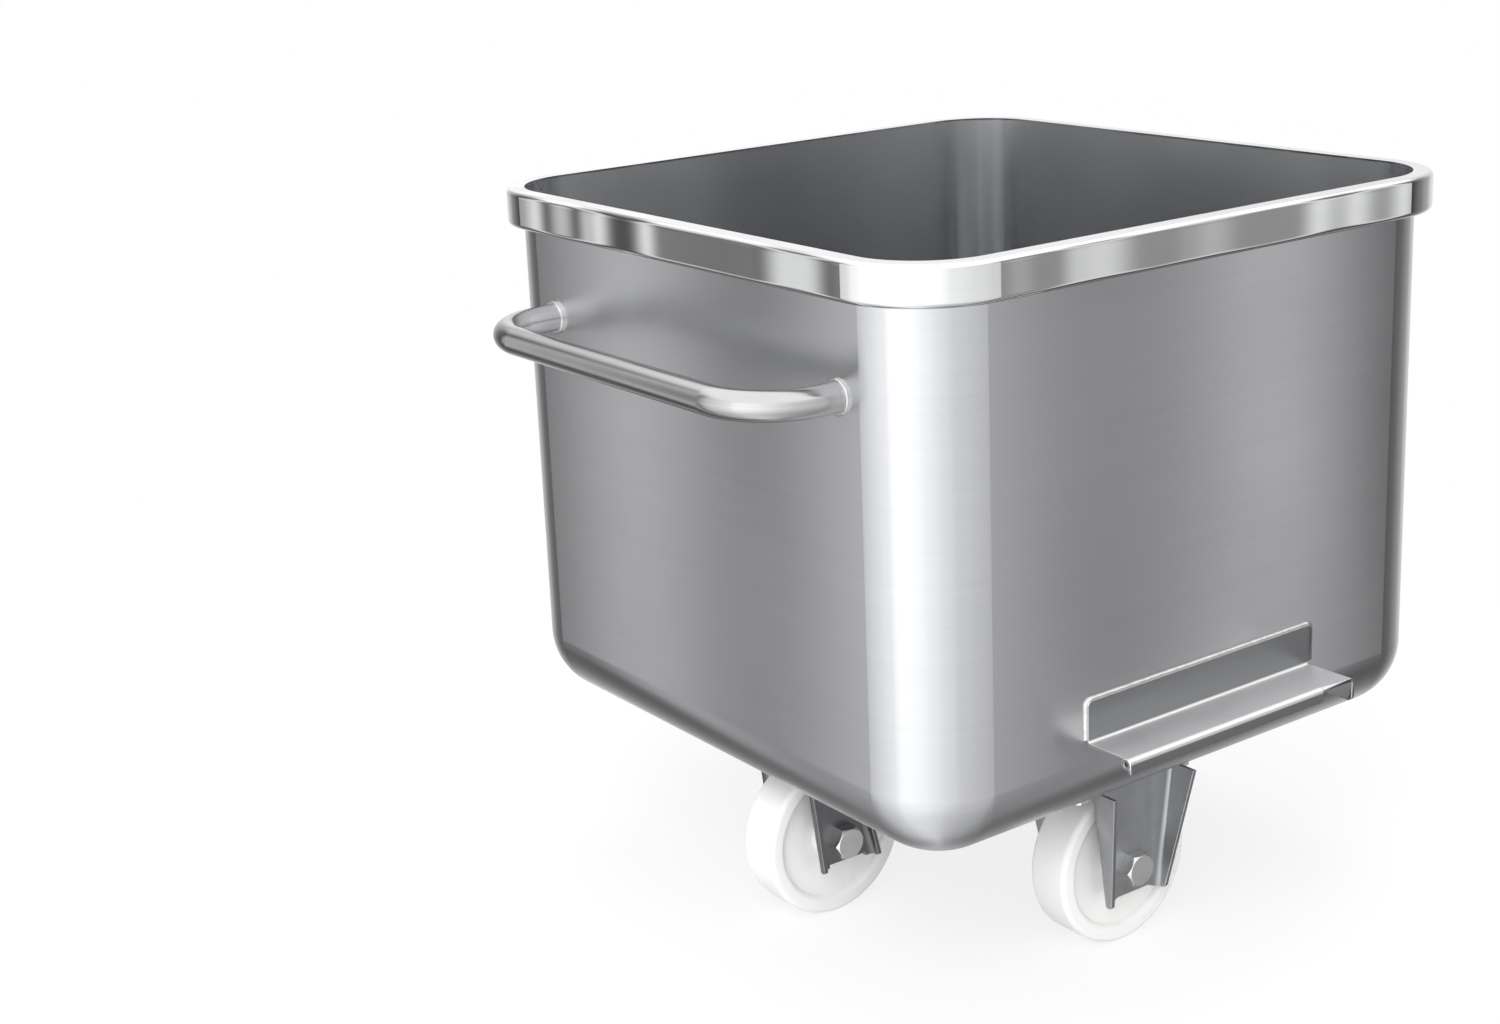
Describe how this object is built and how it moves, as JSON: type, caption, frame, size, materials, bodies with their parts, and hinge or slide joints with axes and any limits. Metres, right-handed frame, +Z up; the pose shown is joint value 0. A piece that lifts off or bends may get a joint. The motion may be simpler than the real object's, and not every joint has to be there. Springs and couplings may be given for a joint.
{
  "type": "meat trolley bin",
  "caption": "Square open stainless tub with rounded corners on castors in a diamond layout, with a folded rim, a tube push handle and side shelves for a lifting device.",
  "frame": {"origin": "on the floor under the middle of the whole trolley's bounding box, handle included", "axes": "+Z up, -X towards the push handle, Y across the two lifting brackets"},
  "size_m": [0.7596, 0.756, 0.7055],
  "materials": {
    "tub_steel": "fine satin-ground stainless sheet",
    "rim_steel": "polished stainless fold",
    "handle_steel": "brushed stainless tube",
    "bracket_steel": "plain folded stainless with bright edges",
    "weld_steel": "brushed-off weld bead",
    "fork_steel": "pressed stainless, dull grey",
    "fastener_steel": "bright machined bolt",
    "wheel_nylon": "white moulded polyamide, faint sheen",
    "bearing_cage": "dark moulded roller cage"
  },
  "bodies": {
    "bin": {"jacket": "tub_steel", "base_pan": "tub_steel", "rim_band": "rim_steel", "handle": "handle_steel", "handle_collars": "weld_steel", "lift_bracket_left": "bracket_steel", "lift_bracket_right": "bracket_steel", "bracket_welds": "weld_steel", "castor_pads": "fork_steel", "castor_studs": "fastener_steel", "castor_nuts": "fastener_steel", "left_fork": "fork_steel", "left_axle_bolt": "fastener_steel", "left_axle_nut": "fastener_steel", "left_axle_sleeve": "fastener_steel", "right_fork": "fork_steel", "right_axle_bolt": "fastener_steel", "right_axle_nut": "fastener_steel", "right_axle_sleeve": "fastener_steel", "rear_top_plate": "fork_steel", "rear_kingpin": "fastener_steel", "front_top_plate": "fork_steel", "front_kingpin": "fastener_steel"},
    "left_wheel": {"left_wheel": "wheel_nylon", "left_wheel_bearing": "bearing_cage"},
    "right_wheel": {"right_wheel": "wheel_nylon", "right_wheel_bearing": "bearing_cage"},
    "rear_swivel": {"rear_fork": "fork_steel", "rear_race_balls": "fastener_steel", "rear_axle_bolt": "fastener_steel", "rear_axle_nut": "fastener_steel", "rear_axle_sleeve": "fastener_steel"},
    "rear_wheel": {"rear_wheel": "wheel_nylon", "rear_wheel_bearing": "bearing_cage"},
    "front_swivel": {"front_fork": "fork_steel", "front_race_balls": "fastener_steel", "front_axle_bolt": "fastener_steel", "front_axle_nut": "fastener_steel", "front_axle_sleeve": "fastener_steel"},
    "front_wheel": {"front_wheel": "wheel_nylon", "front_wheel_bearing": "bearing_cage"}
  },
  "joints": [
    {"name": "left_wheel_spin", "type": "hinge", "parent": "bin", "child": "left_wheel", "pos_m": [0.02175, 0.224, 0.08], "axis": [0, 1, 0], "continuous": true},
    {"name": "right_wheel_spin", "type": "hinge", "parent": "bin", "child": "right_wheel", "pos_m": [0.02175, -0.224, 0.08], "axis": [0, 1, 0], "continuous": true},
    {"name": "rear_castor_swivel", "type": "hinge", "parent": "bin", "child": "rear_swivel", "pos_m": [-0.18025, 0, 0.1645], "axis": [0, 0, 1], "continuous": true},
    {"name": "rear_wheel_spin", "type": "hinge", "parent": "rear_swivel", "child": "rear_wheel", "pos_m": [-0.14825, 0, 0.08], "axis": [0, 1, 0], "continuous": true},
    {"name": "front_castor_swivel", "type": "hinge", "parent": "bin", "child": "front_swivel", "pos_m": [0.25975, 0, 0.1645], "axis": [0, 0, 1], "continuous": true},
    {"name": "front_wheel_spin", "type": "hinge", "parent": "front_swivel", "child": "front_wheel", "pos_m": [0.29175, 0, 0.08], "axis": [0, 1, 0], "continuous": true}
  ]
}
